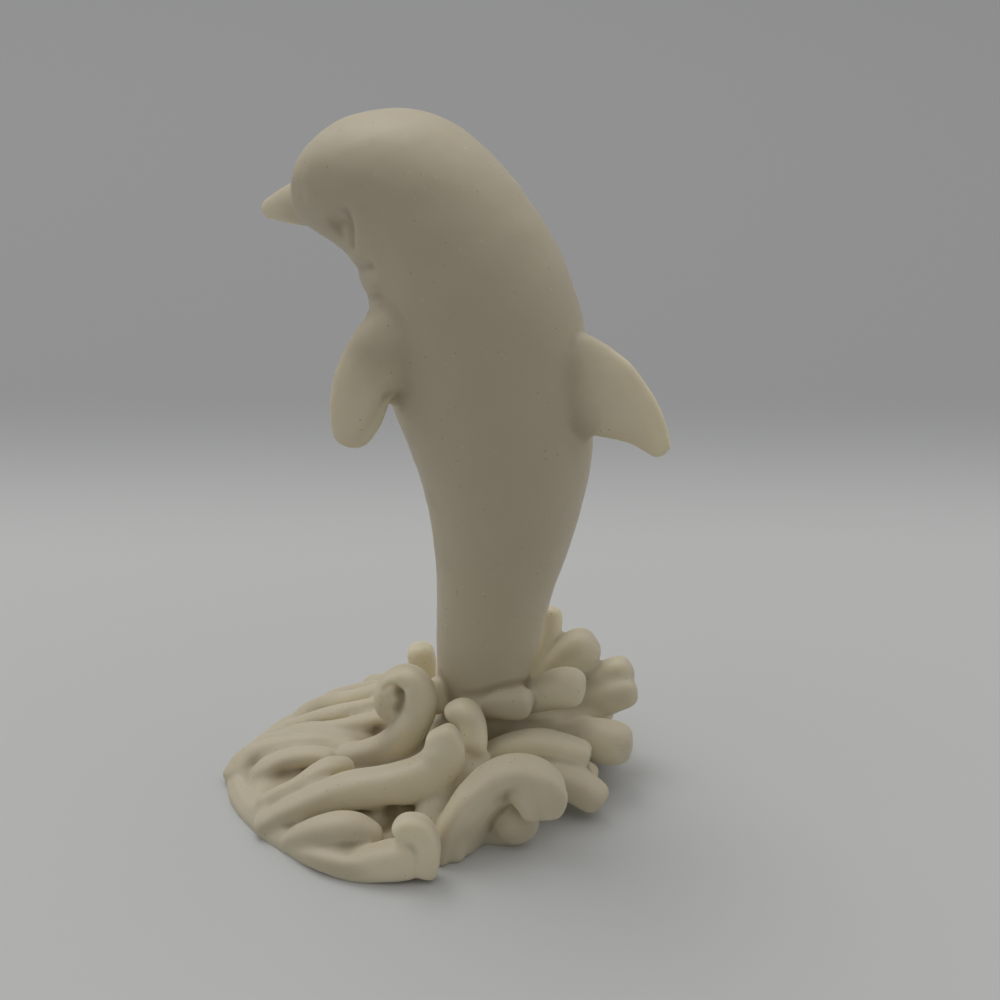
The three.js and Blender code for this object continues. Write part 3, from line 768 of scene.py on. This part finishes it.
def edgeArray(mesh):
    flat = np.empty(len(mesh.edges) * 2, np.int32)
    mesh.edges.foreach_get("vertices", flat)
    return flat.reshape(-1, 2)


def averaged(values, edges, count):                   # mean of each vertex's neighbours
    a, b = edges.T
    columns = values if values.ndim > 1 else values[:, None]
    total = np.stack([np.bincount(a, c[b], count) + np.bincount(b, c[a], count) for c in columns.T], 1)
    near = np.bincount(a, minlength=count) + np.bincount(b, minlength=count)
    return (total / np.maximum(near, 1)[:, None]).reshape(values.shape)


def soften(mesh, passes, ridgeWear, weight=None):     # creases fill, ridges nearly stay
    points, edges = vertexArray(mesh), edgeArray(mesh)
    kept = np.arange(len(points))
    if weight is not None:                            # only the part that moves
        kept = np.flatnonzero(weight > carving["leastBlend"])
        place = np.full(len(points), -1)
        place[kept] = np.arange(len(kept))
        edges = place[edges]
        edges = edges[(edges >= 0).all(1)]
    share = np.ones((len(kept), 1)) if weight is None else weight[kept, None]
    part = points[kept]
    for i in range(passes):
        if i % carving["turnEvery"] == 0:
            points[kept] = part
            setVertices(mesh, points)
            normals = normalArray(mesh)[kept]
        move = averaged(part, edges, len(part)) - part
        height = (move * normals).sum(1, keepdims=True)
        outward = normals * height * np.where(height > 0, 1.0, ridgeWear)
        along = (move - normals * height) * carving["slide"]
        part = part + (outward + along) * carving["stride"] * share
    points[kept] = part
    setVertices(mesh, points)


def nearPath(points, path):                           # each point's distance to a line through the path
    distance = np.full(len(points), 1e6)
    for a, b in zip(path[:-1], path[1:]):
        share = np.clip((points - a) @ (b - a) / ((b - a) @ (b - a)), 0, 1)
        away = np.linalg.norm(points - a - share[:, None] * (b - a), axis=1)
        distance = np.minimum(distance, away)
    return distance


def pressed(mesh, places):                            # dents, and where the depth is negative, rolls
    points, normals = vertexArray(mesh), normalArray(mesh)
    for path, radius, depth, both in places.values():
        path = np.asarray(path, float) * grow
        lines = [path]
        if both:
            lines.append(path * (1, -1, 1) + (0, 2 * middleY, 0))
        for line in lines:
            push = depth * np.exp(-(nearPath(points, line) / radius) ** 2)
            points -= normals * push[:, None]
    setVertices(mesh, points)


def blended(mesh):                                    # wide fillets where fins and beak leave the body
    points = vertexArray(mesh)
    places = np.array(carving["blendPlaces"]) * grow
    near = np.min([np.linalg.norm(points - p, axis=1) for p in places], axis=0)
    weight = np.exp(-(near / carving["blendReach"]) ** 4)
    soften(mesh, carving["blends"], 0.0, weight)


def uneven(mesh):                                     # the slight waviness of rubbing down by hand
    points, normals = vertexArray(mesh), normalArray(mesh)
    for scale, height in carving["waves"]:
        waviness = np.array([noise.noise(Vector(p) * scale) for p in points])
        points += normals * (waviness * height)[:, None]
    setVertices(mesh, points)


def stoneSkin(meshes):
    whole = linked("roughOut", joined("roughOut", meshes))
    remesh = whole.modifiers.new("oneSkin", "REMESH")
    remesh.mode = "VOXEL"
    remesh.voxel_size = carving["voxel"]
    mesh = applied(whole, "dolphinSculpture")
    bpy.data.objects.remove(whole)
    return mesh


def thinned(mesh, wanted):
    mesh.calc_loop_triangles()
    count = len(mesh.loop_triangles)
    if count <= wanted:
        return mesh
    piece = linked("thinning", mesh)
    fewer = piece.modifiers.new("fewer", "DECIMATE")
    fewer.ratio = wanted / count
    made = applied(piece, mesh.name)
    bpy.data.objects.remove(piece)
    return made


def cutAtFloor(mesh):                                 # the flat underside, closed
    bm = bmesh.new()
    bm.from_mesh(mesh)
    everything = bm.verts[:] + bm.edges[:] + bm.faces[:]
    bmesh.ops.bisect_plane(
        bm, geom=everything, dist=1e-7, plane_co=(0, 0, 0), plane_no=(0, 0, -1), clear_outer=True)
    rim = [e for e in bm.edges if e.is_boundary]
    bmesh.ops.triangle_fill(bm, edges=rim, use_beauty=True, normal=(0, 0, -1))
    bmesh.ops.recalc_face_normals(bm, faces=bm.faces)
    bm.to_mesh(mesh)
    bm.free()


def keptInside(mesh, low, high):                      # nothing stands out of the solid's box
    setVertices(mesh, np.clip(vertexArray(mesh), np.array(low) * metre, np.array(high) * metre))


shading = {
    "recessPasses": 40,                               # how far round a crease is looked for
    "recessBlur": 3,
    "recessFull": 0.62,                               # mm deep, where the painted crease shade is darkest
    "thinReach": 14,                                  # mm through, below which the stone takes painted light through it
    "thinBlur": 14,
    "skin": 0.05,                                     # mm under the surface where the look through starts
}


def stoneAttributes(mesh, s):                         # how deep in a crease the stone is, for painted shade, and how thin, for painted light through it
    points, normals, edges = vertexArray(mesh), normalArray(mesh), edgeArray(mesh)
    count = len(points)
    spread = points.copy()
    for _ in range(s["recessPasses"]):
        spread = averaged(spread, edges, count)
    hollow = ((spread - points) * normals).sum(1)
    for _ in range(s["recessBlur"]):
        hollow = averaged(hollow, edges, count)
    tree = BVHTree.FromPolygons([Vector(p) for p in points], [tuple(p.vertices) for p in mesh.polygons])
    through = np.zeros(count)
    for i, (p, n) in enumerate(zip(points, normals)):
        place, facing, _, distance = tree.ray_cast(Vector(p - n * s["skin"]), Vector(-n))
        if place is not None:                         # the underside on the table lets no light through
            through[i] = max(0, 1 - distance / s["thinReach"]) * min(1, max(0, 1 + facing.z))
    for _ in range(s["thinBlur"]):
        through = averaged(through, edges, count)
    masks = {"creaseShade": np.clip(hollow / s["recessFull"], -1, 1), "throughLight": np.clip(through, 0, 1)}
    for name, values in masks.items():
        mesh.attributes.new(name, "FLOAT", "POINT").data.foreach_set("value", values.astype(np.float32))
        print(name, np.percentile(values, [1, 50, 99]).round(2))


# Materials

def newMaterial(name):
    material = bpy.data.materials.new(name)
    material.use_nodes = True
    material.node_tree.nodes.clear()
    return material, TreeBuilder(material.node_tree)


stoneLook = {
    "base": (0.572, 0.51, 0.378, 1),
    "cloudy": (0.55, 0.486, 0.357, 1),
    # painted shade: dark brown mixed into the creases and hollows
    "creaseShade": (0.3, 0.235, 0.13, 1),
    # painted light: pale yellow where thin stone is lit through from its far side
    "thin": (0.97, 0.9, 0.66, 1),
    "throughLightShare": 0.9,
    "creaseShadeShare": 0.95,
    "roughLow": 0.40,                                 # roughness, from one grain to the next
    "roughHigh": 0.58,
    "softDepth": 0.0022,                              # metres that light travels under the surface
    "softShare": 0.5,
    "softWay": (1.0, 0.72, 0.42),                     # farther in red than in blue
    "cloudScale": 55.0,                               # to the metre, as the next two scales
    "cloudFrom": 0.35,
    "cloudTo": 0.65,
    "cloudShare": 0.6,
    "grainScale": 2600.0,
    "grainHeight": 0.25,                              # share of a pinhole's depth
    "holeScale": 760.0,
    "holeShare": 0.2,                                 # share of the cells with a pinhole, or a fleck
    "holeReach": 0.16,                                # radius, as a share of the cell
    "holeDepth": 0.00012,                             # metres
    "holeRelief": 0.35,
    # painted shade: the pinholes darkened
    "holeShade": (0.30, 0.24, 0.16, 1),
    "holeShadeInk": 0.85,
    # pale crystal flecks, their brightness partly a painted glint
    "fleckGlint": (0.85, 0.81, 0.72, 1),
    "fleckGlintInk": 0.5,
}


def mixed(b, share, first, second):
    made = b.node("ShaderNodeMix", data_type="RGBA")
    for socket, value in ((made.inputs[0], share), (made.inputs[6], first), (made.inputs[7], second)):
        if isinstance(value, bpy.types.NodeSocket):
            b.tree.links.new(value, socket)
        else:
            socket.default_value = value
    return made.outputs[2]


def alabaster(look):
    material, b = newMaterial("alabaster")
    place = b.node("ShaderNodeTexCoord").outputs["Object"]
    inputs = {"Vector": place, "Scale": look["cloudScale"], "Detail": 5.0, "Roughness": 0.55}
    clouds = b.node("ShaderNodeTexNoise", {**inputs, "Distortion": 0.6}).outputs["Fac"]
    cloud = b.ranged(clouds, look["cloudFrom"], look["cloudTo"])
    inputs = {"Vector": place, "Scale": look["grainScale"], "Detail": 4.0, "Roughness": 0.65}
    grain = b.node("ShaderNodeTexNoise", inputs).outputs["Fac"]
    cells = b.node("ShaderNodeTexVoronoi", {"Vector": place, "Scale": look["holeScale"]})
    choice = b.node("ShaderNodeSeparateColor", {"Color": cells.outputs["Color"]}).outputs[0]
    away = b.math("DIVIDE", cells.outputs["Distance"], look["holeReach"])
    near = b.math("SUBTRACT", 1.0, away, clamp=True)
    holes = b.math("MULTIPLY", near, b.math("LESS_THAN", choice, look["holeShare"]))
    fleckGlints = b.math("MULTIPLY", near, b.math("GREATER_THAN", choice, 1 - look["holeShare"]))
    creaseShade = b.node("ShaderNodeAttribute", attribute_name="creaseShade").outputs["Fac"]
    thin = b.node("ShaderNodeAttribute", attribute_name="throughLight").outputs["Fac"]
    colour = mixed(b, b.math("MULTIPLY", cloud, look["cloudShare"]), look["base"], look["cloudy"])
    # painted light through thin stone, strongest where its far side faces up or back
    colour = mixed(b, b.math("MULTIPLY", thin, look["throughLightShare"]), colour, look["thin"])
    # painted shade in the creases, deepest where the surface is most concave
    colour = mixed(b, b.math("MULTIPLY", creaseShade, look["creaseShadeShare"], clamp=True), colour, look["creaseShade"])
    # painted shade inside the pinholes
    colour = mixed(b, b.math("MULTIPLY", holes, look["holeShadeInk"]), colour, look["holeShade"])
    # pale crystal flecks, partly painted glints
    colour = mixed(b, b.math("MULTIPLY", fleckGlints, look["fleckGlintInk"]), colour, look["fleckGlint"])
    height = b.math("SUBTRACT", b.math("MULTIPLY", grain, look["grainHeight"]), holes)
    inputs = {"Height": height, "Strength": look["holeRelief"], "Distance": look["holeDepth"]}
    bump = b.node("ShaderNodeBump", inputs)
    rough = b.ranged(grain, toMin=look["roughLow"], toMax=look["roughHigh"])
    surface = b.node("ShaderNodeBsdfPrincipled", {
        "Base Color": colour, "Roughness": rough, "Normal": bump.outputs["Normal"], "IOR": 1.52,
        "Subsurface Weight": look["softShare"], "Subsurface Radius": look["softWay"],
        "Subsurface Scale": look["softDepth"], "Specular IOR Level": 0.4,
    })
    b.node("ShaderNodeOutputMaterial", {"Surface": surface.outputs[0]})
    return material


stone = alabaster(stoneLook)

rough = [dolphinBody(dolphin), moundMesh(mound), sweptStrands(allStrands(), stone)]
print("rough shapes", [len(m.polygons) for m in rough])
sculpture = stoneSkin(rough)
print("one skin", len(sculpture.polygons))
soften(sculpture, carving["fillets"], carving["ridgeWear"])
blended(sculpture)
pressed(sculpture, marks)
print("softened, blended and marked")
sculpture = thinned(sculpture, carving["trianglesKept"])
uneven(sculpture)
cutAtFloor(sculpture)
print("thinned", len(sculpture.polygons))
keptInside(sculpture, cadLow, cadHigh)
stoneAttributes(sculpture, shading)
sculpture.materials.clear()
sculpture.materials.append(stone)
sculpture.shade_smooth()
sculpture.set_sharp_from_angle(angle=math.radians(carving["sharpAngle"]))
dolphinPiece = linked("dolphinSculpture", sculpture)
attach(dolphinPiece, "root")
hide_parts("dolphin_sculpture")


# Stage and light

stage = {
    "floorRadius": 4.0,
    "floorColour": (0.565, 0.57, 0.562, 1),
    "farShadeColour": (0.345, 0.345, 0.35, 1),             # painted shade: the flat floor darkens behind the piece, standing in for a shaded backdrop
    "nearShadeColour": (0.25, 0.24, 0.23, 1),              # painted shade: the floor darkens before the piece, out of the picture, standing in for the dark room on the viewer's side
    "behind": (-0.42, 0.91, 0.0),                     # the way from the viewer to the backdrop
    "backShadeStart": 0.085, "backShadeEnd": 0.19,              # metres behind the piece where that painted shade fades in
    "frontShadeStart": -0.10, "frontShadeEnd": -0.16,             # metres before the piece where that painted shade fades in
    "roomColour": (1.0, 1.0, 1.0, 1),
    "glowWay": (0.2, 0.98, 0.0),                      # to the brighter half of the room
    "frontGlow": 0.18, "rearGlow": 0.29,
    "sideWay": (0.906, 0.423, 0.0),                   # along the photograph's width
    "sideGlow": 0.27,
    "roofGlow": 0.42, "roofLow": 0.3, "roofHigh": 0.85,
    "roofLean": (-0.45, 0.3, 0.0),                    # brighter on this side
    "keyPower": 4.2, "keySize": 0.8,                  # watts, metres
    "keyPlace": (-0.55, 0.35, 1.25), "keyAim": (0, 0, 0.05),
}


def floorDisc(s):
    bm = bmesh.new()
    bmesh.ops.create_circle(bm, cap_ends=True, segments=96, radius=s["floorRadius"])
    mesh = bpy.data.meshes.new("floor")
    bm.to_mesh(mesh)
    bm.free()
    material, b = newMaterial("paperWithPaintedShade")
    place = b.node("ShaderNodeTexCoord").outputs["Object"]
    away = b.vector("DOT_PRODUCT", place, s["behind"])
    # painted shade on the floor behind the piece
    backShade = b.ranged(away, s["backShadeStart"], s["backShadeEnd"], kind="SMOOTHSTEP")
    # painted shade on the floor before the piece
    frontShade = b.ranged(away, s["frontShadeStart"], s["frontShadeEnd"], kind="SMOOTHSTEP")
    colour = mixed(b, backShade, s["floorColour"], s["farShadeColour"])
    colour = mixed(b, frontShade, colour, s["nearShadeColour"])
    inputs = {"Base Color": colour, "Roughness": 0.6, "Specular IOR Level": 0.25}
    surface = b.node("ShaderNodeBsdfPrincipled", inputs)
    b.node("ShaderNodeOutputMaterial", {"Surface": surface.outputs[0]})
    mesh.materials.append(material)
    floor = linked("floor", mesh)


def keyLight(s):
    data = bpy.data.lights.new("keyLight", "AREA")
    data.energy = s["keyPower"]
    data.size = s["keySize"]
    data.shape = "DISK"
    light = linked("keyLight", data)
    light.location = s["keyPlace"]
    light.rotation_mode = "QUATERNION"
    light.rotation_quaternion = (Vector(s["keyAim"]) - light.location).to_track_quat("-Z", "Y")


def roomLight(s):                                     # dim on the viewer's side, brighter behind and above
    world = bpy.data.worlds.new("softRoom")
    world.use_nodes = True
    world.node_tree.nodes.clear()
    b = TreeBuilder(world.node_tree)
    way = b.node("ShaderNodeTexCoord").outputs["Generated"]
    toRear = b.vector("DOT_PRODUCT", way, s["glowWay"])
    glow = b.ranged(toRear, -1.0, 1.0, s["frontGlow"], s["rearGlow"])
    height = b.node("ShaderNodeSeparateXYZ", {0: way}).outputs["Z"]
    roof = b.ranged(height, s["roofLow"], s["roofHigh"], toMax=s["roofGlow"], kind="SMOOTHSTEP")
    lean = b.math("ADD", b.vector("DOT_PRODUCT", way, s["roofLean"]), 1.0)
    aside = b.vector("DOT_PRODUCT", way, s["sideWay"])
    sides = b.math("MULTIPLY", b.math("MULTIPLY", aside, aside), s["sideGlow"])
    strength = b.math("ADD", b.math("ADD", glow, sides), b.math("MULTIPLY", roof, lean))
    background = b.node("ShaderNodeBackground", {"Color": s["roomColour"], "Strength": strength})
    b.node("ShaderNodeOutputWorld", {"Surface": background.outputs[0]})
    bpy.context.scene.world = world


floorDisc(stage)
keyLight(stage)
roomLight(stage)
bpy.context.scene.view_settings.view_transform = "Standard"
